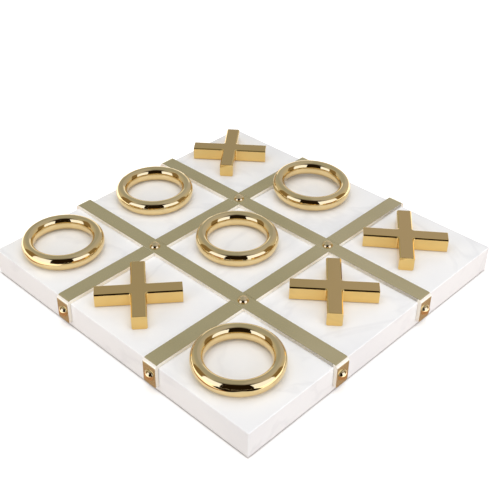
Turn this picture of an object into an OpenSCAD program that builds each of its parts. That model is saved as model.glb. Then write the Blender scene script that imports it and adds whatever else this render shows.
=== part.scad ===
// Tic-tac-toe board: a stone slab with four brass straps screwed over it,
// and nine loose brass pieces, five rings and four crosses.
// Millimetres, +Z up, origin at the middle of the underside.
// Left and right are -X and +X, front and back are -Y and +Y.

/* [Slab] */
// Length of each side of the square slab
board_side = 305; // [280:1:360]
// Thickness of the stone
slab_h = 24.4; // [22:0.1:40]
// Small bevel along every edge of the stone
slab_bevel = 0.8; // [0.4:0.1:2]
// Thickness of the felt sheet under the stone
felt_t = 1; // [0.6:0.1:3]
// How far the felt stays back from the edge of the stone
felt_inset = 1; // [0.5:0.1:6]
// Radius of the corners of the felt
felt_corner = 2.5; // [0.5:0.1:8]

/* [Straps] */
// Width of the brass bar
strap_w = 14.4; // [12:0.1:20]
// Thickness of the brass bar
strap_t = 3.2; // [2:0.1:4]
// Height of the lower end of a tab above the table
tab_up = 5.9; // [3:0.1:9]
// Radius of the two lower corners of a tab
tab_corner = 2; // [0.5:0.1:4]
// Side gap where two straps are halved into each other
lap_gap = 0.1; // [0.05:0.01:0.3]

/* [Screws] */
// Diameter of the domed head
head_d = 9.5; // [7:0.1:11]
// Height of the domed head
head_h = 3.5; // [2:0.1:4.5]
// Height of the straight rim under the dome
rim_h = 0.4; // [0.2:0.1:0.8]
// Diameter of the shank
shank_d = 4; // [3:0.1:5]
// Length of the shank below the head
shank_l = 16; // [12:0.5:18]
// Gap between a shank and its hole in a strap, all round
shank_gap = 0.2; // [0.1:0.05:0.4]

/* [Sleeves] */
// Wall of the sleeve glued into each hole in the stone
sleeve_wall = 1.2; // [0.8:0.1:2]
// How far a sleeve runs on past the tip of its screw
sleeve_spare = 2.2; // [1:0.1:4]
// Gap that the thread of a screw fills in its sleeve, all round
thread_gap = 0.1; // [0.05:0.01:0.3]
// Gap that the glue fills round a sleeve
glue_gap = 0.1; // [0.05:0.01:0.3]

/* [Rings] */
// Outer diameter of a ring
ring_d = 73; // [60:0.5:76]
// Width of the brass of a ring, seen from above
ring_w = 11; // [8:0.1:12.6]
// Height of a ring
ring_h = 14; // [12.8:0.1:18]
// Depth ground off the underside, which gives a ring its flat seat
ring_seat = 0.1; // [0.05:0.05:0.4]

/* [Crosses] */
// Length of each bar of a cross
cross_l = 72; // [60:0.5:80]
// Width of each bar
cross_w = 12.8; // [9:0.1:16]
// Height of a cross
cross_h = 13; // [9:0.1:18]
// Bevel along the edges of each bar
cross_bevel = 1.1; // [0.4:0.1:2]
// Radius of the corners between the arms
cross_corner_r = 1.5; // [0.5:0.1:3]
// Radius of the eased edges round the sawn end of each bar
cross_end_edge = 0.3; // [0.1:0.1:0.5]

/* [Places] */
// Least gap between a piece and a strap beside it
piece_gap = 0.3; // [0.1:0.1:2]
// How far behind the middle of its cell the leaning ring lies
leaning_back = 5.6; // [-8:0.1:8]

/* [Hidden] */
$fn = 96;
LEFT = -1;
RIGHT = 1;
FRONT = -1;
BACK = 1;
MID = 0;
// The eight pieces that lie flat: name, column and row of the cell, then how far
// off the middle of the cell each lies along X and Y, as shares of the cell's
// width, and its turn.
FLAT_PIECES = [
    ["ring_front_left", LEFT, FRONT, -0.0587, -0.025, 0],
    ["ring_front_right", RIGHT, FRONT, -0.063, -0.0228, 0],
    ["ring_middle_left", LEFT, MID, -0.1097, 0.0391, 0],
    ["ring_centre", MID, MID, -0.0717, 0.0217, 0],
    ["cross_front_middle", MID, FRONT, -0.1043, -0.0402, 49.7],
    ["cross_middle_right", RIGHT, MID, -0.0717, 0.0434, 40],
    ["cross_back_left", LEFT, BACK, -0.0999, -0.0141, 38.5],
    ["cross_back_right", RIGHT, BACK, -0.0858, -0.0413, 37.6],
];

// Cuts run this far past the face that they go through.
over = 1;
total_h = felt_t + slab_h;
half_side = board_side / 2;

// Three equal open cells lie between and beside the straps.
cell = (board_side - 2 * strap_w) / 3;
cell_at = cell + strap_w;
strap_at = cell_at / 2;

// The inside of a bend follows the bevel of the slab.
bend_in = slab_bevel;
bend_out = bend_in + strap_t;
tab_screw_z = (tab_up + total_h) / 2;

head_r = head_d / 2;
strap_hole_d = shank_d + 2 * shank_gap;
sleeve_in_d = shank_d + 2 * thread_gap;
sleeve_d = sleeve_in_d + 2 * sleeve_wall;
sleeve_l = shank_l - strap_t + sleeve_spare;
socket_d = sleeve_d + 2 * glue_gap;

// The oval of a ring is drawn with four arcs, on 3-4-5 triangles: small arcs
// of crown_r above and below run into large arcs of side_r at meet_z.
ring_r = (ring_d - ring_w) / 2;
oval_a = ring_w / 2;
oval_b = (ring_h + ring_seat) / 2;
crown_r = 2 * oval_a - oval_b;
crown_z = 2 * (oval_b - oval_a);
side_r = oval_a + 3 * (oval_b - oval_a) / 2;
meet_z = crown_z + 4 * crown_r / 5;
seat_half = sqrt(pow(crown_r, 2) - pow(crown_r - ring_seat, 2));

// Half of the room that a piece takes, a ring at the height of the straps
function ring_reach() = ring_r + oval_a - side_r + sqrt(pow(side_r, 2) - pow(oval_b - strap_t, 2));
function cross_reach(turn) =
    let (c = abs(cos(turn)), s = abs(sin(turn))) cross_l / 2 * max(c, s) + cross_w / 2 * min(c, s);
function is_ring(p) = p[0][0] == "r";
function reach(p) = is_ring(p) ? ring_reach() : cross_reach(p[5]);

// How far off the middle of its cell a piece lies, kept between the straps beside it
function kept(share, p) =
    let (room = cell / 2 - piece_gap - reach(p)) max(-room, min(room, share * cell));

// A rectangle with round corners, centred
module rounded_rect(w, h, r) {
    square([w - 2 * r, h], center = true);
    square([w, h - 2 * r], center = true);
    for (x = [-1, 1], y = [-1, 1])
        translate([x * (w / 2 - r), y * (h / 2 - r)]) circle(r = r);
}

// A rectangle with its corners cut off at 45 degrees, centred
module bevelled_rect(w, h, b) {
    polygon([
        [-w / 2 + b, -h / 2], [w / 2 - b, -h / 2], [w / 2, -h / 2 + b], [w / 2, h / 2 - b],
        [w / 2 - b, h / 2], [-w / 2 + b, h / 2], [-w / 2, h / 2 - b], [-w / 2, -h / 2 + b],
    ]);
}

// What a child and the same child a quarter turn on have in common
module for_both_ways() {
    intersection() {
        children();
        rotate([0, 0, 90]) children();
    }
}

// Places a child at each crossing of the straps, on top of the slab
module at_crossings() {
    for (x = [LEFT, RIGHT], y = [FRONT, BACK])
        translate([x * strap_at, y * strap_at, total_h]) children();
}

// Places a child at each tab, on the face of the slab, with +Z pointing outwards
module at_tabs() {
    for (turn = [0:90:270], s = [LEFT, RIGHT])
        rotate([0, 0, turn]) translate([s * strap_at, -half_side, tab_screw_z])
            rotate([90, 0, 0]) children();
}

// The hole that a sleeve is glued into, with its mouth on z = 0
module socket() {
    translate([0, 0, -sleeve_l]) cylinder(h = sleeve_l + over, d = socket_d);
}

// The stone, bevelled along all its edges and drilled for the sleeves
module board_slab() {
    color("whitesmoke") difference() {
        translate([0, 0, felt_t + slab_h / 2]) intersection() {
            linear_extrude(slab_h, center = true) bevelled_rect(board_side, board_side, slab_bevel);
            for_both_ways() rotate([90, 0, 0]) linear_extrude(board_side, center = true)
                bevelled_rect(board_side, slab_h, slab_bevel);
        }
        at_crossings() socket();
        at_tabs() socket();
    }
}

module felt_backing() {
    side = board_side - 2 * felt_inset;
    color("dimgray") linear_extrude(felt_t) rounded_rect(side, side, felt_corner);
}

// Side view of a strap: a flat bar with both ends bent down round the slab
module strap_side() {
    for (s = [LEFT, RIGHT]) scale([s, 1]) {
        translate([0, total_h]) square([half_side - bend_in, strap_t]);
        translate([half_side, tab_up]) square([strap_t, total_h - bend_in - tab_up]);
        translate([half_side - bend_in, total_h - bend_in]) intersection() {
            difference() {
                circle(r = bend_out);
                circle(r = bend_in);
            }
            square(bend_out);
        }
    }
}

// End view of a strap, with the lower corners of its tabs rounded
module strap_end() {
    top = total_h + strap_t;
    translate([-strap_w / 2, tab_up + tab_corner]) square([strap_w, top - tab_up - tab_corner]);
    translate([0, tab_up + strap_w / 2]) rounded_rect(strap_w, strap_w, tab_corner);
}

// One strap along X with its four screw holes, before it is halved
module strap_bar() {
    length = board_side + 2 * strap_t;
    difference() {
        intersection() {
            rotate([90, 0, 0]) linear_extrude(strap_w, center = true) strap_side();
            rotate([90, 0, 90]) linear_extrude(length + 2 * over, center = true) strap_end();
        }
        for (s = [LEFT, RIGHT]) {
            translate([s * strap_at, 0, total_h - over])
                cylinder(h = strap_t + 2 * over, d = strap_hole_d);
            translate([s * half_side, 0, tab_screw_z]) rotate([0, s * 90, 0])
                translate([0, 0, -over]) cylinder(h = strap_t + 2 * over, d = strap_hole_d);
        }
    }
}

// A strap along X with half of its thickness cut away at both crossings,
// from its underside, or from its top when from_top is true
module halved_strap(from_top) {
    cut = strap_w + 2 * lap_gap;
    floor_z = total_h + (from_top ? strap_t / 2 : -over);
    difference() {
        strap_bar();
        for (s = [LEFT, RIGHT])
            translate([s * strap_at - cut / 2, -cut / 2, floor_z])
                cube([cut, cut, strap_t / 2 + over]);
    }
}

module strap_along_x(side) {
    color("goldenrod") translate([0, side * strap_at, 0]) halved_strap(false);
}

module strap_along_y(side) {
    color("goldenrod") translate([side * strap_at, 0, 0]) rotate([0, 0, 90]) halved_strap(true);
}

// A screw along Z with a plain domed head, seated on z = 0
module dome_screw() {
    dome_h = head_h - rim_h;
    dome_r = (pow(head_r, 2) + pow(dome_h, 2)) / (2 * dome_h);
    color("gold") {
        cylinder(h = rim_h, r = head_r);
        translate([0, 0, rim_h]) rotate_extrude() intersection() {
            translate([0, dome_h - dome_r]) circle(r = dome_r);
            square([head_r, dome_h]);
        }
        translate([0, 0, -shank_l]) cylinder(h = shank_l + rim_h / 2, d = shank_d);
    }
}

module crossing_screws() {
    at_crossings() translate([0, 0, strap_t]) dome_screw();
}

module edge_screws() {
    at_tabs() translate([0, 0, strap_t]) dome_screw();
}

// A brass sleeve that a screw bites into, its mouth flush with the stone
module sleeve() {
    color("darkgoldenrod") translate([0, 0, -sleeve_l]) difference() {
        cylinder(h = sleeve_l, d = sleeve_d);
        translate([0, 0, -over]) cylinder(h = sleeve_l + 2 * over, d = sleeve_in_d);
    }
}

module crossing_sleeves() {
    at_crossings() sleeve();
}

module edge_sleeves() {
    at_tabs() sleeve();
}

// The oval of a ring, cut flat where it seats, with the seat on y = 0
module ring_section() {
    intersection() {
        translate([0, oval_b - ring_seat]) {
            for (s = [-1, 1]) translate([0, s * crown_z]) circle(r = crown_r);
            intersection() {
                translate([oval_a - side_r, 0]) circle(r = side_r);
                translate([side_r - oval_a, 0]) circle(r = side_r);
                square([ring_w, 2 * meet_z], center = true);
            }
        }
        translate([-oval_a, 0]) square([ring_w, ring_h]);
    }
}

module ring_piece() {
    color("gold") rotate_extrude() translate([ring_r, 0]) ring_section();
}

// One bar of a cross along X, bevelled along its length and eased at its ends
module cross_bar() {
    intersection() {
        linear_extrude(cross_h, center = true) rounded_rect(cross_l, cross_w, cross_end_edge);
        rotate([90, 0, 0]) linear_extrude(cross_w, center = true)
            rounded_rect(cross_l, cross_h, cross_end_edge);
        rotate([90, 0, 90]) linear_extrude(cross_l, center = true)
            bevelled_rect(cross_w, cross_h, cross_bevel);
    }
}

// Fills the corner between two arms, with the bevel running round it
module cross_corner() {
    low = cross_w / 2 - cross_bevel;
    size = cross_bevel + cross_corner_r;
    wide = size + over;
    difference() {
        translate([low, low, -cross_h / 2]) cube([size, size, cross_h]);
        translate([low + size, low + size, 0]) rotate_extrude() polygon([
            [0, -cross_h / 2 - over], [wide, -cross_h / 2 - over],
            [cross_corner_r, cross_bevel - cross_h / 2], [cross_corner_r, cross_h / 2 - cross_bevel],
            [wide, cross_h / 2 + over], [0, cross_h / 2 + over],
        ]);
    }
}

module cross_piece() {
    color("gold") translate([0, 0, cross_h / 2]) {
        for (turn = [0, 90]) rotate([0, 0, turn]) cross_bar();
        for (turn = [0:90:270]) rotate([0, 0, turn]) cross_corner();
    }
}

// Lays a piece flat in its cell
module flat_piece(p) {
    translate([p[1] * cell_at + kept(p[3], p), p[2] * cell_at + kept(p[4], p), total_h])
        rotate([0, 0, p[5]])
            if (is_ring(p)) ring_piece();
            else cross_piece();
}

// This ring was set down with its left side up on the edge of the left strap.
module leaning_ring() {
    low = ring_r + seat_half;
    lean = asin(strap_t / (ring_r + low));
    x = strap_w / 2 - strap_at + ring_r * cos(lean);
    translate([x, cell_at + leaning_back, total_h + low * sin(lean)])
        rotate([0, lean, 0]) ring_piece();
}

board_slab();
felt_backing();
strap_along_x(FRONT);  // strap_front
strap_along_x(BACK);  // strap_back
strap_along_y(LEFT);  // strap_left
strap_along_y(RIGHT);  // strap_right
crossing_screws();
edge_screws();
crossing_sleeves();
edge_sleeves();
leaning_ring();  // ring_back_middle
for (p = FLAT_PIECES) flat_piece(p);
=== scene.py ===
# Noughts and crosses board: a white stone slab, brass straps and loose brass pieces.
# Everything is in metres, +Z up, with the origin at the middle of the underside.
import math

import bmesh
import bpy
from mathutils import Matrix, Vector


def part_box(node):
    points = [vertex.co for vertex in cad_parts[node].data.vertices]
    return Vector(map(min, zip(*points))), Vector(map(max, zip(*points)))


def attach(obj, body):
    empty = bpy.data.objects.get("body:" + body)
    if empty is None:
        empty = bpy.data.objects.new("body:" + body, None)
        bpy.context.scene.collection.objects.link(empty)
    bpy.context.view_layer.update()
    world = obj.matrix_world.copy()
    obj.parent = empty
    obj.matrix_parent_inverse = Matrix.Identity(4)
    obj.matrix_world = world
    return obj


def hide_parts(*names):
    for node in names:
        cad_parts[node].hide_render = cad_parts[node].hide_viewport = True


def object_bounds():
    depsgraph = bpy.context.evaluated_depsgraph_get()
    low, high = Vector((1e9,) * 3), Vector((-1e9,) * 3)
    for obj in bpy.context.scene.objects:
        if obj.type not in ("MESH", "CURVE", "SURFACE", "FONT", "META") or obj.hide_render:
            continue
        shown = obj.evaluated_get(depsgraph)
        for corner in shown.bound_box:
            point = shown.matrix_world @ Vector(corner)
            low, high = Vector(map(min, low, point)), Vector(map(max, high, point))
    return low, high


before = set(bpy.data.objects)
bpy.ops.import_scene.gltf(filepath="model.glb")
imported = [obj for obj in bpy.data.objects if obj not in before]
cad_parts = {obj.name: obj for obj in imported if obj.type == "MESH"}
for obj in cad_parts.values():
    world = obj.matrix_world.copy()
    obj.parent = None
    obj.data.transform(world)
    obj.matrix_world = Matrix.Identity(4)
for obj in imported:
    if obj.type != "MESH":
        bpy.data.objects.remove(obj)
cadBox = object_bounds()
print("frame loaded:", len(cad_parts), "nodes")

scene = bpy.context.scene
scene.view_settings.view_transform = "Standard"

mm = 0.001
near = 0.01 * mm  # places closer together than this count as the same
merged = 0.001 * mm  # points closer together than this become one
over = 1 * mm  # how far a cutter starts outside the surface that it cuts


# Places that several pieces share, from the frame

def worldBox(node):
    low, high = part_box(node)
    return low, high, (low + high) / 2


slabLow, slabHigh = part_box("board_slab")
side = slabHigh.x - slabLow.x
top = slabHigh.z
strapLow, strapHigh, strapMiddle = worldBox("strap_back")
strapAt = strapMiddle.y  # from the middle of the board to the middle of each strap
strapWidth = strapHigh.y - strapLow.y
strapThick = strapHigh.z - top
tabFoot = strapLow.z
tabScrewAt = (tabFoot + top) / 2


def crossingPlaces():
    return [Matrix.Translation((x * strapAt, y * strapAt, top)) for x in (-1, 1) for y in (-1, 1)]


def tabPlaces():
    # Frames on the slab's sides, behind each tab, with +Z pointing outwards
    places = []
    for quarter in range(4):
        for along in (-1, 1):
            turn = Matrix.Rotation(math.radians(90 * quarter), 4, "Z")
            place = Matrix.Translation((along * strapAt, -side / 2, tabScrewAt))
            places.append(turn @ place @ Matrix.Rotation(math.radians(90), 4, "X"))
    return places


# Helpers for meshes

sharpTurn = 30  # degrees, an edge that turns further than this gets bevelled
smoothTurn = 35  # degrees, an edge that turns further than this is shaded sharp
drillSegments = 48


def addMesh(name, bm):
    mesh = bpy.data.meshes.new(name)
    bm.to_mesh(mesh)
    bm.free()
    obj = bpy.data.objects.new(name, mesh)
    scene.collection.objects.link(obj)
    return obj


def addBox(bm, low, high):
    bmesh.ops.create_cube(bm, size=1)
    bmesh.ops.scale(bm, vec=high - low, verts=bm.verts)
    bmesh.ops.translate(bm, vec=(low + high) / 2, verts=bm.verts)


def addCylinder(bm, diameter, length, matrix):
    bmesh.ops.create_cone(bm, cap_ends=True, segments=drillSegments, radius1=diameter / 2,
                          radius2=diameter / 2, depth=length, matrix=matrix)


def turnRound(bm, steps):
    # Turns a profile in the XZ plane once round Z
    bmesh.ops.spin(bm, geom=bm.verts[:] + bm.edges[:], cent=(0, 0, 0), axis=(0, 0, 1),
                   dvec=(0, 0, 0), angle=math.tau, steps=steps, use_merge=True,
                   use_duplicate=False)
    bmesh.ops.remove_doubles(bm, verts=bm.verts, dist=merged)
    bmesh.ops.recalc_face_normals(bm, faces=bm.faces)


def sharpEdges(bm):
    return [e for e in bm.edges if len(e.link_faces) == 2
            and e.calc_face_angle(0) > math.radians(sharpTurn)]


def bevelEdges(bm, edges, offset, segments):
    bmesh.ops.bevel(bm, geom=edges, offset=offset, offset_type="OFFSET", affect="EDGES",
                    segments=segments, profile=0.5, material=-1, clamp_overlap=False)


def cutWith(obj, cutter):
    # Takes the cutter's shape out of the piece for good
    modifier = obj.modifiers.new("cut", "BOOLEAN")
    modifier.operation = "DIFFERENCE"
    modifier.solver = "EXACT"
    modifier.object = cutter
    bpy.context.view_layer.update()
    evaluated = obj.evaluated_get(bpy.context.evaluated_depsgraph_get())
    cutMesh = bpy.data.meshes.new_from_object(evaluated)
    obj.modifiers.clear()
    oldMesh = obj.data
    obj.data = cutMesh
    cutMesh.name = obj.name
    bpy.data.meshes.remove(oldMesh)
    bpy.data.objects.remove(cutter)


def finishPiece(obj, material, body, nodeNames):
    mesh = obj.data
    mesh.materials.clear()
    mesh.materials.append(material)
    mesh.shade_smooth()
    mesh.set_sharp_from_angle(angle=math.radians(smoothTurn))
    weighted = obj.modifiers.new("flatFacesStayFlat", "WEIGHTED_NORMAL")
    weighted.keep_sharp = True
    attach(obj, body)
    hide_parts(*nodeNames)


# Helpers for materials. A value is a plain number or colour, or the output of another node

def feed(tree, socket, value):
    if isinstance(value, bpy.types.NodeSocket):
        tree.links.new(value, socket)
    else:
        socket.default_value = value


def calculate(tree, operation, *values, kind="Math", result="Value"):
    node = tree.nodes.new("ShaderNode" + kind)
    node.operation = operation
    for socket, value in zip(node.inputs, values):
        feed(tree, socket, value)
    return node.outputs[result]


def between(tree, value, low, high, fromLow=0.3, fromHigh=0.7):
    # Takes a value from one range to another, where it stops. Most of a noise lies in the
    # range that is used when none is given
    ranged = tree.nodes.new("ShaderNodeMapRange")
    for name, number in (("Value", value), ("From Min", fromLow), ("From Max", fromHigh),
                         ("To Min", low), ("To Max", high)):
        feed(tree, ranged.inputs[name], number)
    return ranged.outputs["Result"]


def blendColours(tree, share, first, second):
    mix = tree.nodes.new("ShaderNodeMix")
    mix.data_type = "RGBA"
    feed(tree, mix.inputs["Factor"], share)
    for name, colour in (("A", first), ("B", second)):
        linked = isinstance(colour, bpy.types.NodeSocket)
        feed(tree, mix.inputs[name], colour if linked else (*colour, 1))
    return mix.outputs["Result"]


def noise(tree, place, scale, detail, distortion=0):
    texture = tree.nodes.new("ShaderNodeTexNoise")
    for name, value in (("Vector", place), ("Scale", scale), ("Detail", detail),
                        ("Distortion", distortion)):
        feed(tree, texture.inputs[name], value)
    return texture.outputs["Fac"]


def bump(tree, shader, height, distance, under=None):
    # A bump goes on top of an earlier one when that is given as under
    node = tree.nodes.new("ShaderNodeBump")
    node.inputs["Distance"].default_value = distance
    tree.links.new(height, node.inputs["Height"])
    if under:
        tree.links.new(under.outputs["Normal"], node.inputs["Normal"])
    tree.links.new(node.outputs["Normal"], shader.inputs["Normal"])
    return node


def principled(name):
    material = bpy.data.materials.new(name)
    material.use_nodes = True
    tree = material.node_tree
    place = tree.nodes.new("ShaderNodeTexCoord").outputs["Object"]
    return material, tree, tree.nodes["Principled BSDF"], place


# Camera, at the photograph's place

camera = {
    "azimuth": 47.21,  # degrees, which way it looks, 0 is along +Y
    "elevation": 36.20,  # degrees above the horizon
    "roll": -1.63,  # degrees
    "place": (0.4403, -0.4693, 0.4950),
    "lens": 65.38,  # millimetres, as the sensor
    "sensor": 36,
    "shift": 0.1215,  # the photograph is cropped, so its middle isn't the lens axis
}


def makeCamera():
    data = bpy.data.cameras.new("camera")
    data.lens = camera["lens"]
    data.sensor_width = camera["sensor"]
    data.shift_x = camera["shift"]
    obj = bpy.data.objects.new("camera", data)
    scene.collection.objects.link(obj)
    turn = Matrix.Rotation(math.radians(camera["azimuth"]), 4, "Z")
    tilt = Matrix.Rotation(math.radians(90 - camera["elevation"]), 4, "X")
    roll = Matrix.Rotation(math.radians(camera["roll"]), 4, "Z")
    obj.matrix_world = Matrix.Translation(camera["place"]) @ turn @ tilt @ roll
    scene.camera = obj
    print("camera ready")


# Studio: white world and floor, two softboxes and a lamp overhead, and round them a tent and
# sheets that only reflections see

studio = {
    "side": 43.2,  # degrees, the side of the board the camera is on, 0 is -Y
    "worldLevel": 0.30,  # how brightly the world lights matt surfaces
    "floorSize": 6.0,
    "floorTint": (0.84, 0.82, 0.80),
    # what takes the lit floor up to white: how far outside the board, and the glow there
    "floorGlow": ((-0.2 * mm, 0), (0.6 * mm, 0.30), (90 * mm, 0.80)),
    # the two ends of each softbox on the floor, its power and its colour
    "boxes": (((-0.84, -1.36), (0.20, -1.05), 7.4, (1, 0.955, 0.93)),
              ((0.95, -0.34), (1.38, 0.78), 9.3, (1, 0.985, 1))),
    "boxHeight": 0.90,
    "boxShine": (1.25, 1.38, 1.85),  # how a box looks in the brass
    "skyHeight": 1.8,
    "skySize": 2.0,
    "skyPower": 23.5,
    "skyTint": (1, 1, 1),
    # upright sheets: degrees from the camera's side to their two ends, distance and height
    "darkSheet": ((-40, 40), 1.45, 1.75),
    "brownSheets": (((-108, -76), 1.70, 1.55), ((78, 108), 1.70, 1.30)),
    "darkTint": (0.016, 0.009, 0.003),
    "brownTint": (0.25, 0.18, 0.09),
    # corners of a sheet on the floor: degrees from the camera's side, and distance
    "darkFloor": ((-25, 0.26), (1.8, 0.235), (22, 0.26), (31, 1.1), (-36, 1.1)),
    "darkFloorLift": 0.5 * mm,
    # a brown mat round the board
    "matTint": (0.50, 0.29, 0.18),
    "matMargin": 0.045,
    "matLift": 0.4 * mm,
    "stoneFill": 1.4,  # how bright dim sheets are where brass lights matt surfaces
    "oneBounce": 0.5,  # a path with more matt bounces than this has one or more
}
tent = {
    "radius": 2.6,
    "segments": (72, 36),  # round and up
    "grey": (0.40, 0.424, 0.445),
    "right": (0.487, 0.50, 0.56),
    "rightFrom": (0.05, 0.15),  # cosines of the angle to the right where it starts and is full
    "sides": (0.60, 0.57, 0.50),
    "sidesFrom": (0.5, 0.9),  # cosines, as above, to the left and right
    "dark": (0.045, 0.035, 0.028),
    "darkHeight": 15,  # degrees above the horizon, the middle of the dark
    "darkTo": (30, 62),  # degrees from there, where it starts to fade and has gone
    "gap": 18,  # degrees of white horizon left open behind the board
    "gapFrom": 160,  # degrees from the camera's side
}


def emptyTree(owner):
    # Takes every node out of a material or a world
    owner.use_nodes = True
    owner.node_tree.nodes.clear()
    return owner.node_tree


def emissionMaterial(name, colour):
    material = bpy.data.materials.new(name)
    tree = emptyTree(material)
    glow = tree.nodes.new("ShaderNodeEmission")
    glow.inputs["Color"].default_value = (*colour, 1)
    output = tree.nodes.new("ShaderNodeOutputMaterial")
    tree.links.new(glow.outputs[0], output.inputs["Surface"])
    material.cycles.emission_sampling = "NONE"
    return material


def dimMaterial(name, colour):
    # Dim in the brass, but pale in the light that the brass throws onto matt surfaces
    material = emissionMaterial(name, colour)
    tree = material.node_tree
    path = tree.nodes.new("ShaderNodeLightPath")
    thrown = calculate(tree, "GREATER_THAN", path.outputs["Diffuse Depth"], studio["oneBounce"])
    fill = blendColours(tree, thrown, colour, [studio["stoneFill"]] * 3)
    fill.node.name = "fill"
    tree.links.new(fill, tree.nodes["Emission"].inputs["Color"])
    return material


def seenDirectly(tree):
    # 1 for the camera, reflections and glass, 0 for light falling on matt surfaces
    path = tree.nodes.new("ShaderNodeLightPath")
    seen = calculate(tree, "MAXIMUM", path.outputs["Is Camera Ray"],
                     path.outputs["Is Glossy Ray"])
    return calculate(tree, "MAXIMUM", seen, path.outputs["Is Transmission Ray"])


def sideOfBoard(azimuth, distance):
    # A place on the floor, its azimuth counted from the side the camera is on
    angle = math.radians(studio["side"] + azimuth)
    return distance * math.sin(angle), -distance * math.cos(angle)


def standing(start, end, height):
    # Width and frame of an upright sheet between two places on the floor. Its -Z looks at
    # the board when the places run anticlockwise round it
    along = Vector((end[0] - start[0], end[1] - start[1], 0))
    middle = Vector(((start[0] + end[0]) / 2, (start[1] + end[1]) / 2, height / 2))
    turn = Matrix.Rotation(math.atan2(along.y, along.x), 4, "Z")
    upright = Matrix.Rotation(math.radians(90), 4, "X")
    return along.length, Matrix.Translation(middle) @ turn @ upright


def onlyInReflections(name, bm, material):
    obj = addMesh(name, bm)
    obj.data.materials.append(material)
    obj.visible_camera = False
    obj.visible_diffuse = False
    obj.visible_shadow = False
    obj.visible_transmission = False
    obj.visible_volume_scatter = False


def makeSheet(name, start, end, height, material):
    width, place = standing(start, end, height)
    bm = bmesh.new()
    bmesh.ops.create_grid(bm, x_segments=1, y_segments=1, size=0.5)
    bmesh.ops.scale(bm, vec=(width, height, 1), verts=bm.verts)
    bm.transform(place)
    onlyInReflections(name, bm, material)


def makeSheetRound(name, azimuths, distance, height, colour):
    start, end = (sideOfBoard(azimuth, distance) for azimuth in azimuths)
    makeSheet(name, start, end, height, dimMaterial(name, colour))


def makeFloorSheet(name, corners, lift, colour):
    bm = bmesh.new()
    bm.faces.new([bm.verts.new((*corner, lift)) for corner in corners])
    onlyInReflections(name, bm, emissionMaterial(name, colour))


def makeWorld():
    scene.world = bpy.data.worlds.new("world")
    tree = emptyTree(scene.world)
    background = tree.nodes.new("ShaderNodeBackground")
    background.inputs["Color"].default_value = (1, 1, 1, 1)
    level = between(tree, seenDirectly(tree), studio["worldLevel"], 1, 0, 1)
    tree.links.new(level, background.inputs["Strength"])
    output = tree.nodes.new("ShaderNodeOutputWorld")
    tree.links.new(background.outputs[0], output.inputs["Surface"])


def glowOutside(tree, place):
    # No glow under the board, so the gap below the slab stays dark, and little close to it,
    # so its shadow shows
    size = calculate(tree, "ABSOLUTE", place, kind="VectorMath", result="Vector")
    axes = tree.nodes.new("ShaderNodeSeparateXYZ")
    tree.links.new(size, axes.inputs[0])
    further = calculate(tree, "MAXIMUM", axes.outputs["X"], axes.outputs["Y"])
    steps = studio["floorGlow"]
    glow = steps[0][1]
    for (start, low), (end, high) in zip(steps, steps[1:]):
        rise = between(tree, further, 0, high - low, side / 2 + start, side / 2 + end)
        glow = calculate(tree, "ADD", rise, glow)
    return glow


def makeFloor():
    material, tree, shader, place = principled("pale_floor")
    shader.inputs["Base Color"].default_value = (*studio["floorTint"], 1)
    shader.inputs["Roughness"].default_value = 1
    shader.inputs["Specular IOR Level"].default_value = 0
    shader.inputs["Emission Color"].default_value = (1, 1, 1, 1)
    glow = calculate(tree, "MULTIPLY", glowOutside(tree, place), seenDirectly(tree))
    tree.links.new(glow, shader.inputs["Emission Strength"])
    material.cycles.emission_sampling = "NONE"
    bm = bmesh.new()
    bmesh.ops.create_grid(bm, x_segments=1, y_segments=1, size=studio["floorSize"] / 2)
    floor = addMesh("floor", bm)
    floor.data.materials.append(material)


def makeLamp(name, width, height, power, tint, place):
    # Lights matt surfaces only, because neither the camera nor a reflection sees it
    lamp = bpy.data.lights.new(name, "AREA")
    lamp.shape = "RECTANGLE"
    lamp.size = width
    lamp.size_y = height
    lamp.energy = power
    lamp.color = tint
    box = bpy.data.objects.new(name, lamp)
    scene.collection.objects.link(box)
    box.matrix_world = place
    box.visible_camera = False
    box.visible_glossy = False


def makeLamps():
    # Each softbox has a sheet in its place for reflections, and the lamp overhead has none
    height = studio["boxHeight"]
    for start, end, power, tint in studio["boxes"]:
        width, place = standing(start, end, height)
        makeLamp("softbox", width, height, power, tint, place)
        makeSheet("softbox_front", start, end, height,
                  emissionMaterial("softbox_front", studio["boxShine"]))
    makeLamp("overhead", studio["skySize"], studio["skySize"], studio["skyPower"],
             studio["skyTint"], Matrix.Translation((0, 0, studio["skyHeight"])))


def tentMaterial():
    # Grey and a little paler on the right, then warmer and paler still to both sides, and
    # dark on the camera's side
    material = dimMaterial("grey_tent", tent["grey"])
    tree = material.node_tree
    place = tree.nodes.new("ShaderNodeTexCoord").outputs["Object"]
    way = calculate(tree, "NORMALIZE", place, kind="VectorMath", result="Vector")
    toRight = calculate(tree, "DOT_PRODUCT", way, (*sideOfBoard(90, 1), 0), kind="VectorMath")
    rightShare = between(tree, toRight, 0, 1, *tent["rightFrom"])
    grey = blendColours(tree, rightShare, tent["grey"], tent["right"])
    sidesShare = between(tree, calculate(tree, "ABSOLUTE", toRight), 0, 1, *tent["sidesFrom"])
    pale = blendColours(tree, sidesShare, grey, tent["sides"])
    height = math.radians(tent["darkHeight"])
    darkest = (*sideOfBoard(0, math.cos(height)), math.sin(height))
    toDarkest = calculate(tree, "DOT_PRODUCT", way, darkest, kind="VectorMath")
    fadeStart, fadeEnd = (math.cos(math.radians(angle)) for angle in tent["darkTo"])
    darkShare = between(tree, toDarkest, 0, 1, fadeEnd, fadeStart)
    both = blendColours(tree, darkShare, pale, tent["dark"])
    tree.links.new(both, tree.nodes["fill"].inputs["A"])
    return material


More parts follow.
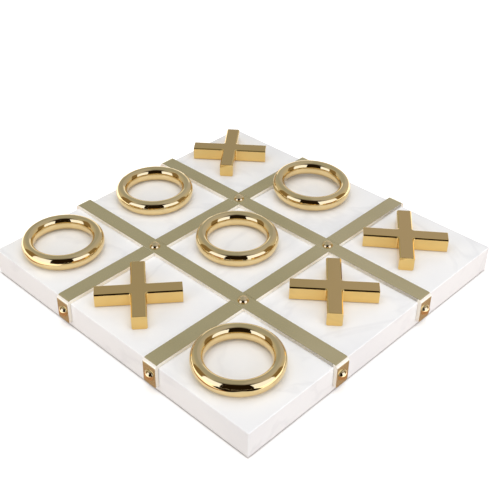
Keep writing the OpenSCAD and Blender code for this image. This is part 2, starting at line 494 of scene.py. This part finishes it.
def makeTent():
    # All round and above, open to the white background low down behind the board
    bm = bmesh.new()
    around, upwards = tent["segments"]
    bmesh.ops.create_uvsphere(bm, u_segments=around, v_segments=upwards, radius=tent["radius"])
    bm.transform(Matrix.Rotation(math.radians(studio["side"]), 4, "Z"))
    towardsCamera = Vector((*sideOfBoard(0, 1), 0))
    opened = []
    for face in bm.faces:
        middle = face.calc_center_median()
        elevation = math.degrees(math.asin(middle.z / middle.length))
        level = Vector((middle.x, middle.y, 0))
        away = math.degrees(level.angle(towardsCamera)) if level.length > 0 else 0
        if elevation < 0 or (elevation < tent["gap"] and away > tent["gapFrom"]):
            opened.append(face)
    bmesh.ops.delete(bm, geom=opened, context="FACES")
    onlyInReflections("tent", bm, tentMaterial())


def makeStudio():
    makeWorld()
    makeFloor()
    makeLamps()
    makeTent()
    makeSheetRound("dark_sheet", *studio["darkSheet"], studio["darkTint"])
    for sheet in studio["brownSheets"]:
        makeSheetRound("brown_sheet", *sheet, studio["brownTint"])
    makeFloorSheet("dark_floor", [sideOfBoard(*corner) for corner in studio["darkFloor"]],
                   studio["darkFloorLift"], studio["darkTint"])
    reach = cadBox[1][0] + studio["matMargin"]
    makeFloorSheet("mat", [(-reach, -reach), (reach, -reach), (reach, reach), (-reach, reach)],
                   studio["matLift"], studio["matTint"])
    print("studio ready")


# Stone and felt

marble = {
    "white": (0.86, 0.86, 0.86),
    "cloud": (0.80, 0.80, 0.81),
    "cloudScale": 9,  # clouds about 110 mm across
    "cloudDetail": 5,
    "cloudWarp": 0.6,
    "cloudFrom": (0.45, 0.75),  # the noise where a cloud starts and is full
    "vein": (0.70, 0.70, 0.715),
    "veinScale": 5,
    "veinDetail": 6,
    "veinWarp": 1.4,
    "veinMiddle": 0.5,  # the noise along the middle of a vein
    "veinReach": 0.025,  # how far the noise may be from there
    "veinShare": 0.35,  # how strong a vein is in its middle
    "polish": (0.10, 0.16),  # roughness, least and most
    "polishScale": 60,
    "polishDetail": 4,
    "grainScale": 900,
    "grainDetail": 2,
    "grainDepth": 0.02 * mm,
}
felt = {
    "dark": (0.045, 0.045, 0.05),
    "light": (0.10, 0.10, 0.105),
    "roughness": 0.95,
    "sheen": 0.4,
    "sheenRoughness": 0.6,
    "fibreScale": 1800,
    "fibreDetail": 4,
    "fibreWarp": 1,
    "pile": 0.3 * mm,
}


def marbleMaterial():
    material, tree, shader, place = principled("white_marble")
    clouds = noise(tree, place, marble["cloudScale"], marble["cloudDetail"], marble["cloudWarp"])
    cloudShare = between(tree, clouds, 0, 1, *marble["cloudFrom"])
    body = blendColours(tree, cloudShare, marble["white"], marble["cloud"])
    # A vein is where a warped noise passes through its middle value
    warped = noise(tree, place, marble["veinScale"], marble["veinDetail"], marble["veinWarp"])
    apart = calculate(tree, "ABSOLUTE", calculate(tree, "SUBTRACT", warped, marble["veinMiddle"]))
    veinShare = between(tree, apart, marble["veinShare"], 0, 0, marble["veinReach"])
    veined = blendColours(tree, veinShare, body, marble["vein"])
    tree.links.new(veined, shader.inputs["Base Color"])
    patches = noise(tree, place, marble["polishScale"], marble["polishDetail"])
    tree.links.new(between(tree, patches, *marble["polish"]), shader.inputs["Roughness"])
    grain = noise(tree, place, marble["grainScale"], marble["grainDetail"])
    bump(tree, shader, grain, marble["grainDepth"])
    return material


def feltMaterial():
    material, tree, shader, place = principled("grey_felt")
    fibres = noise(tree, place, felt["fibreScale"], felt["fibreDetail"], felt["fibreWarp"])
    colour = blendColours(tree, between(tree, fibres, 0, 1), felt["dark"], felt["light"])
    tree.links.new(colour, shader.inputs["Base Color"])
    shader.inputs["Roughness"].default_value = felt["roughness"]
    shader.inputs["Sheen Weight"].default_value = felt["sheen"]
    shader.inputs["Sheen Roughness"].default_value = felt["sheenRoughness"]
    bump(tree, shader, fibres, felt["pile"])
    return material


# Brass, with what every finish shares first

brass = {
    "tarnishFrom": (0.4, 0.8),  # the noise where tarnish starts and is full
    "tarnishDetail": 4,
    "dullRatio": 3,  # how much finer the duller spots are than the tarnish
    "dullDetail": 5,
    "dullWarp": 0.5,
    "markDetail": 3,
    "waveDetail": 1,
}
ringBrass = {
    "metallic": 1,
    "colour": (0.86, 0.67, 0.35),
    "tarnish": (0.81, 0.61, 0.30),
    "roughness": (0.04, 0.08),
    "patchScale": 40,
    "grain": (600, 600, 600),
    "grainDepth": 0.0006 * mm,
    "waveScale": 70,
    "waveDepth": 0.35 * mm,
}
crossBrass = {
    "metallic": 1,
    "satinAndPaintedHighlight": {"colour": (0.579, 0.401, 0.166), "roughness": 0.08, "metallic": 0.75},  # the tops
    "colour": (0.865, 0.61, 0.235),
    "tarnish": (0.815, 0.56, 0.20),
    "roughness": (0.05, 0.09),
    "patchScale": 40,
    "grain": (600, 600, 600),
    "grainDepth": 0.0006 * mm,
    "waveScale": 50,
    "waveDepth": 0.2 * mm,
}
strapBrass = {
    "metallic": 0.75,
    # the sides of the bars and their bends, painted pale: a painted highlight on the bends, and
    # painted light on the sides that makes them read as pale as the stone
    "satinAndPaintedHighlight": {"colour": (0.95, 0.90, 0.80), "roughness": 0.5, "metallic": 0.35},
    "colour": (0.615, 0.525, 0.295),
    "tarnish": (0.58, 0.49, 0.265),
    "roughness": (0.06, 0.11),
    "patchScale": 30,
    "grain": (500, 500, 500),
    "grainDepth": 0.0006 * mm,
}
screwBrass = {
    "metallic": 1,
    "colour": (0.87, 0.69, 0.40),
    "tarnish": (0.80, 0.61, 0.33),
    "roughness": (0.05, 0.10),
    "patchScale": 200,
    "grain": (900, 900, 900),
    "grainDepth": 0.0004 * mm,
}
sleeveBrass = {
    "metallic": 1,
    "colour": (0.70, 0.52, 0.26),
    "tarnish": (0.55, 0.40, 0.20),
    "roughness": (0.22, 0.38),
    "patchScale": 200,
    "grain": (300, 300, 4000),
    "grainDepth": 0.002 * mm,
}


def brassMaterial(name, finish):
    # Tarnish in faint patches, duller spots and fine marks
    material, tree, shader, place = principled(name)
    shader.inputs["Metallic"].default_value = finish["metallic"]
    patches = noise(tree, place, finish["patchScale"], brass["tarnishDetail"])
    tarnished = between(tree, patches, 0, 1, *brass["tarnishFrom"])
    colour = blendColours(tree, tarnished, finish["colour"], finish["tarnish"])
    dullScale = finish["patchScale"] * brass["dullRatio"]
    dull = noise(tree, place, dullScale, brass["dullDetail"], brass["dullWarp"])
    roughness = between(tree, dull, *finish["roughness"])
    if "satinAndPaintedHighlight" in finish:
        # Another finish where the mesh is marked: part-matt tops on the crosses, and on the
        # straps' sides and bends a pale colour that is a painted highlight
        satinAndPaintedHighlight = finish["satinAndPaintedHighlight"]
        mark = tree.nodes.new("ShaderNodeAttribute")
        mark.attribute_name = "satinAndPaintedHighlight"
        share = mark.outputs["Fac"]
        colour = blendColours(tree, share, colour, satinAndPaintedHighlight["colour"])
        roughness = between(tree, share, roughness, satinAndPaintedHighlight["roughness"], 0, 1)
        metallic = between(tree, share, finish["metallic"], satinAndPaintedHighlight["metallic"], 0, 1)
        tree.links.new(metallic, shader.inputs["Metallic"])
    tree.links.new(colour, shader.inputs["Base Color"])
    tree.links.new(roughness, shader.inputs["Roughness"])
    stretch = tree.nodes.new("ShaderNodeMapping")
    stretch.inputs["Scale"].default_value = finish["grain"]
    tree.links.new(place, stretch.inputs["Vector"])
    marks = noise(tree, stretch.outputs["Vector"], 1, brass["markDetail"])
    grain = bump(tree, shader, marks, finish["grainDepth"])
    if "waveDepth" in finish:
        # Cast and buffed by hand, so reflections bend a little
        waves = noise(tree, place, finish["waveScale"], brass["waveDetail"])
        bump(tree, shader, waves, finish["waveDepth"], under=grain)
    return material


# Slab, with a hole for every sleeve

slab = {
    "edge": 0.8 * mm,
    "edgeSegments": 5,
    "socketDiameter": 6.8 * mm,
    "socketDepth": 15 * mm,
}


def makeSlab():
    bm = bmesh.new()
    addBox(bm, slabLow, slabHigh)
    bevelEdges(bm, bm.edges[:], slab["edge"], slab["edgeSegments"])
    stone = addMesh("slab_stone", bm)
    cutter = bmesh.new()
    length = slab["socketDepth"] + over
    for place in crossingPlaces() + tabPlaces():
        inwards = Matrix.Translation((0, 0, length / 2 - slab["socketDepth"]))
        addCylinder(cutter, slab["socketDiameter"], length, place @ inwards)
    cutWith(stone, addMesh("slab_cutter", cutter))
    finishPiece(stone, marbleMaterial(), "board", ["board_slab"])
    print("slab ready")


# Felt under the slab

feltSheet = {
    "corner": 2.5 * mm,
    "cornerSegments": 8,
    "edge": 0.25 * mm,
    "edgeSegments": 2,
}


def makeFelt():
    bm = bmesh.new()
    addBox(bm, *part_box("felt_backing"))
    upright = [e for e in bm.edges if abs((e.verts[0].co - e.verts[1].co).z) > near]
    bevelEdges(bm, upright, feltSheet["corner"], feltSheet["cornerSegments"])
    bevelEdges(bm, sharpEdges(bm), feltSheet["edge"], feltSheet["edgeSegments"])
    sheet = addMesh("felt_sheet", bm)
    finishPiece(sheet, feltMaterial(), "board", ["felt_backing"])
    print("felt ready")


# Straps: a flat bar drawn from one tab to the other, then halved at the crossings

strap = {
    "names": {  # whether each one runs along Y, and which side of the middle it is on
        "strap_front": (False, -1),
        "strap_back": (False, 1),
        "strap_left": (True, -1),
        "strap_right": (True, 1),
    },
    "bendInside": 0.8 * mm,
    "bendSteps": 14,
    "tabCorner": 2 * mm,
    "tabCornerSegments": 6,
    "edge": 0.25 * mm,
    "edgeSegments": 3,
    "screwHole": 4.4 * mm,
    "topDrill": 3,  # length of what cuts a hole in the bar, in thicknesses of the strap
    "tabDrill": 4,  # the same for a hole in a tab
    "lapGap": 0.1 * mm,
    # cosine of the turn away from a flat where its polish ends and the painted pale highlight
    # starts, and how fast it fades
    "topPolish": (0.883, 0.07),
    "tabPolish": (0.985, 0.06),
}


def barAlongX():
    bendCentreX = side / 2 - strap["bendInside"]
    bendCentreZ = top - strap["bendInside"]
    bm = bmesh.new()
    bmesh.ops.create_grid(bm, x_segments=1, y_segments=1, size=0.5)
    bmesh.ops.scale(bm, vec=(strapThick, strapWidth, 1), verts=bm.verts)
    bmesh.ops.translate(bm, vec=(-(side + strapThick) / 2, 0, tabFoot), verts=bm.verts)

    def draw(faces, move):
        made = bmesh.ops.extrude_face_region(bm, geom=faces)["geom"]
        bmesh.ops.delete(bm, geom=faces, context="FACES_ONLY")
        verts = [g for g in made if isinstance(g, bmesh.types.BMVert)]
        bmesh.ops.translate(bm, vec=move, verts=verts)
        return [g for g in made if isinstance(g, bmesh.types.BMFace)]

    def bend(faces, x):
        made = bmesh.ops.spin(bm, geom=faces, cent=(x, 0, bendCentreZ), axis=(0, 1, 0),
                              dvec=(0, 0, 0), angle=math.radians(90), steps=strap["bendSteps"],
                              use_merge=False, use_duplicate=False)["geom_last"]
        return [g for g in made if isinstance(g, bmesh.types.BMFace)]

    end = bm.faces[:]
    # The first tab's lower end stays closed when the face moves on
    bm.faces.new([bm.verts.new(v.co) for v in reversed(end[0].verts)])
    end = draw(end, (0, 0, bendCentreZ - tabFoot))
    end = bend(end, -bendCentreX)
    end = draw(end, (2 * bendCentreX, 0, 0))
    end = bend(end, bendCentreX)
    draw(end, (0, 0, tabFoot - bendCentreZ))
    bmesh.ops.remove_doubles(bm, verts=bm.verts, dist=merged)
    bmesh.ops.recalc_face_normals(bm, faces=bm.faces)
    corners = [e for e in bm.edges if all(abs(v.co.z - tabFoot) < near for v in e.verts)
               and abs((e.verts[0].co - e.verts[1].co).x) > near]
    bevelEdges(bm, corners, strap["tabCorner"], strap["tabCornerSegments"])
    bevelEdges(bm, sharpEdges(bm), strap["edge"], strap["edgeSegments"])
    return bm


def strapCutter(place, fromTop):
    # Notches at both crossings, from the top or from underneath, and the four screw holes
    cutter = bmesh.new()
    middle = top + strapThick / 2
    notch = strapWidth + 2 * strap["lapGap"]
    notchHeight = strapThick / 2 + over
    notchMiddle = middle + (notchHeight / 2 if fromTop else -notchHeight / 2)
    for along in (-1, 1):
        crossing = place @ Matrix.Translation((along * strapAt, 0, notchMiddle))
        bmesh.ops.create_cube(cutter, size=1, matrix=crossing @ Matrix.Diagonal(
            (notch, notch, notchHeight, 1)))
        upright = place @ Matrix.Translation((along * strapAt, 0, middle))
        addCylinder(cutter, strap["screwHole"], strapThick * strap["topDrill"], upright)
        level = place @ Matrix.Translation((along * side / 2, 0, tabScrewAt))
        addCylinder(cutter, strap["screwHole"], strapThick * strap["tabDrill"],
                    level @ Matrix.Rotation(math.radians(90), 4, "Y"))
    return cutter


def markSides(mesh, lengthAxis):
    # 0 on the flat tops and tabs, 1 on the bar's sides and bends, which get a painted pale
    # highlight
    mark = mesh.attributes.new("satinAndPaintedHighlight", "FLOAT", "FACE")
    for face, value in zip(mesh.polygons, mark.data):
        offTop, offTab = ((limit - abs(face.normal[axis])) / fade for axis, (limit, fade)
                          in ((2, strap["topPolish"]), (lengthAxis, strap["tabPolish"])))
        value.value = min(1, max(0, min(offTop, offTab)))


def makeStraps():
    material = brassMaterial("strap_brass", strapBrass)
    for name, (alongY, sideOfMiddle) in strap["names"].items():
        at = sideOfMiddle * strapAt
        turn = Matrix.Rotation(math.radians(90), 4, "Z") if alongY else Matrix.Identity(4)
        place = Matrix.Translation((at, 0, 0) if alongY else (0, at, 0)) @ turn
        bm = barAlongX()
        bm.transform(place)
        piece = addMesh(name + "_brass", bm)
        cutWith(piece, addMesh(name + "_cutter", strapCutter(place, fromTop=alongY)))
        markSides(piece.data, 1 if alongY else 0)
        finishPiece(piece, material, "board", [name])
        print(name, "ready")


# Screws with plain domed heads, turned from a profile

screw = {
    "headDiameter": 9.5 * mm,
    "headHeight": 3.5 * mm,
    "rim": 0.4 * mm,
    "shankDiameter": 4 * mm,
    "shankLength": 16 * mm,
    "arcSteps": 14,
    "turnSteps": 64,
}


def addScrew(bm, place):
    one = bmesh.new()
    radius = screw["headDiameter"] / 2
    shank = screw["shankDiameter"] / 2
    domeHeight = screw["headHeight"] - screw["rim"]
    domeRadius = (radius ** 2 + domeHeight ** 2) / (2 * domeHeight)
    sweep = math.asin(radius / domeRadius)
    apex = one.verts.new((0, 0, screw["headHeight"]))
    bmesh.ops.spin(one, geom=[apex], cent=(0, 0, screw["headHeight"] - domeRadius),
                   axis=(0, 1, 0), dvec=(0, 0, 0), angle=sweep, steps=screw["arcSteps"],
                   use_merge=False, use_duplicate=False)
    last = max(one.verts, key=lambda v: v.co.x)
    for x, z in ((radius, 0), (shank, 0), (shank, -screw["shankLength"]),
                 (0, -screw["shankLength"])):
        vert = one.verts.new((x, 0, z))
        one.edges.new((last, vert))
        last = vert
    turnRound(one, screw["turnSteps"])
    one.transform(place)
    mesh = bpy.data.meshes.new("screw")
    one.to_mesh(mesh)
    one.free()
    bm.from_mesh(mesh)
    bpy.data.meshes.remove(mesh)


def makeScrews():
    material = brassMaterial("screw_brass", screwBrass)
    for name, places in (("crossing_screws", crossingPlaces()), ("edge_screws", tabPlaces())):
        bm = bmesh.new()
        for place in places:
            addScrew(bm, place @ Matrix.Translation((0, 0, strapThick)))
        finishPiece(addMesh(name + "_brass", bm), material, "board", [name])
    print("screws ready")


# Sleeves keep the frame's shape and get a finish

def dressSleeves():
    material = brassMaterial("sleeve_brass", sleeveBrass)
    for name in ("crossing_sleeves", "edge_sleeves"):
        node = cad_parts[name]
        node.data.materials.clear()
        node.data.materials.append(material)
    print("sleeves ready")


# Rings: an oval turned round the middle, ground flat underneath

ring = {
    "width": 11 * mm,
    "height": 14 * mm,
    "seat": 0.1 * mm,  # how much of the oval is ground off
    "sectionSteps": 72,
    "turnSteps": 192,
    "names": ("ring_front_left", "ring_front_right", "ring_middle_left", "ring_centre",
              "ring_back_middle"),
    "leaning": "ring_back_middle",
}


def ringMesh(outerDiameter):
    bm = bmesh.new()
    halfWidth = ring["width"] / 2
    halfHeight = (ring["height"] + ring["seat"]) / 2
    bmesh.ops.create_circle(bm, cap_ends=False, segments=ring["sectionSteps"], radius=1)
    bmesh.ops.scale(bm, vec=(halfWidth, halfHeight, 1), verts=bm.verts)
    bmesh.ops.rotate(bm, cent=(0, 0, 0), matrix=Matrix.Rotation(math.radians(90), 3, "X"),
                     verts=bm.verts)
    bmesh.ops.translate(bm, vec=(outerDiameter / 2 - halfWidth, 0, halfHeight - ring["seat"]),
                        verts=bm.verts)
    for vert in bm.verts:
        vert.co.z = max(vert.co.z, 0)
    turnRound(bm, ring["turnSteps"])
    return bm


def leaningPlace(outer, y):
    # Its left side lies up on the edge of the left strap, and its right side on the stone.
    # It is worked out for the frame's ring, with arcs of the radius crown underneath
    seatEdge = (outer - ring["width"]) / 2
    crown = ring["width"] - (ring["height"] + ring["seat"]) / 2
    flatHalf = math.sqrt(crown ** 2 - (crown - ring["seat"]) ** 2)
    lean = math.asin(strapThick / (2 * seatEdge + flatHalf))
    lift = (seatEdge + flatHalf) * math.sin(lean)
    edgeX = strapWidth / 2 - strapAt
    middle = Vector((edgeX + seatEdge * math.cos(lean), y, top + lift))
    return Matrix.Translation(middle) @ Matrix.Rotation(lean, 4, "Y")


def makeRings():
    material = brassMaterial("ring_brass", ringBrass)
    for name in ring["names"]:
        low, high, middle = worldBox(name)
        outer = high.y - low.y
        bm = ringMesh(outer)
        if name == ring["leaning"]:
            bm.transform(leaningPlace(outer, middle.y))
        else:
            bm.transform(Matrix.Translation((middle.x, middle.y, low.z)))
        finishPiece(addMesh(name + "_brass", bm), material, name, [name])
    print("rings ready")


# Crosses: two bevelled bars in one piece, the corners between the arms filled

cross = {
    "length": 72 * mm,
    "width": 12.8 * mm,
    "bevel": 1.1 * mm,
    "cornerRadius": 1.5 * mm,
    "cornerSegments": 8,
    "edge": 0.3 * mm,
    "edgeSegments": 3,
    "flatTop": 0.99,  # cosine of the turn from level that still counts as the top
    "turns": {  # degrees about +Z
        "cross_front_middle": 49.7,
        "cross_middle_right": 40,
        "cross_back_left": 38.5,
        "cross_back_right": 37.6,
    },
}


def crossMesh(height):
    # A block in the middle, with an arm drawn out of each of its four sides
    bm = bmesh.new()
    half = cross["width"] / 2
    addBox(bm, Vector((-half, -half, 0)), Vector((half, half, height)))
    reach = cross["length"] / 2 - half
    for face in [f for f in bm.faces if abs(f.normal.z) < 0.5]:
        move = face.normal * reach
        made = bmesh.ops.extrude_face_region(bm, geom=[face])["geom"]
        bmesh.ops.translate(bm, vec=move,
                            verts=[g for g in made if isinstance(g, bmesh.types.BMVert)])
        bmesh.ops.delete(bm, geom=[face], context="FACES_ONLY")
    bmesh.ops.recalc_face_normals(bm, faces=bm.faces)
    inner = [e for e in sharpEdges(bm) if not e.is_convex]
    bevelEdges(bm, inner, cross["cornerRadius"], cross["cornerSegments"])
    farOut = cross["length"] / 2 - near
    along = [e for e in sharpEdges(bm) if e.is_convex
             and any(max(abs(v.co.x), abs(v.co.y)) < farOut for v in e.verts)]
    bevelEdges(bm, along, cross["bevel"], segments=1)
    bevelEdges(bm, [e for e in sharpEdges(bm) if e.is_convex], cross["edge"],
               cross["edgeSegments"])
    return bm


def markTop(mesh):
    # 1 on the flat top, 0 on the bevels and sides
    mark = mesh.attributes.new("satinAndPaintedHighlight", "FLOAT", "FACE")
    for face, value in zip(mesh.polygons, mark.data):
        value.value = 1 if face.normal.z > cross["flatTop"] else 0


def makeCrosses():
    material = brassMaterial("cross_brass", crossBrass)
    for name, turn in cross["turns"].items():
        low, high, middle = worldBox(name)
        bm = crossMesh(high.z - low.z)
        bm.transform(Matrix.Translation((middle.x, middle.y, low.z))
                     @ Matrix.Rotation(math.radians(turn), 4, "Z"))
        piece = addMesh(name + "_brass", bm)
        markTop(piece.data)
        finishPiece(piece, material, name, [name])
    print("crosses ready")


makeCamera()
makeStudio()
makeSlab()
makeFelt()
makeStraps()
makeScrews()
dressSleeves()
makeRings()
makeCrosses()
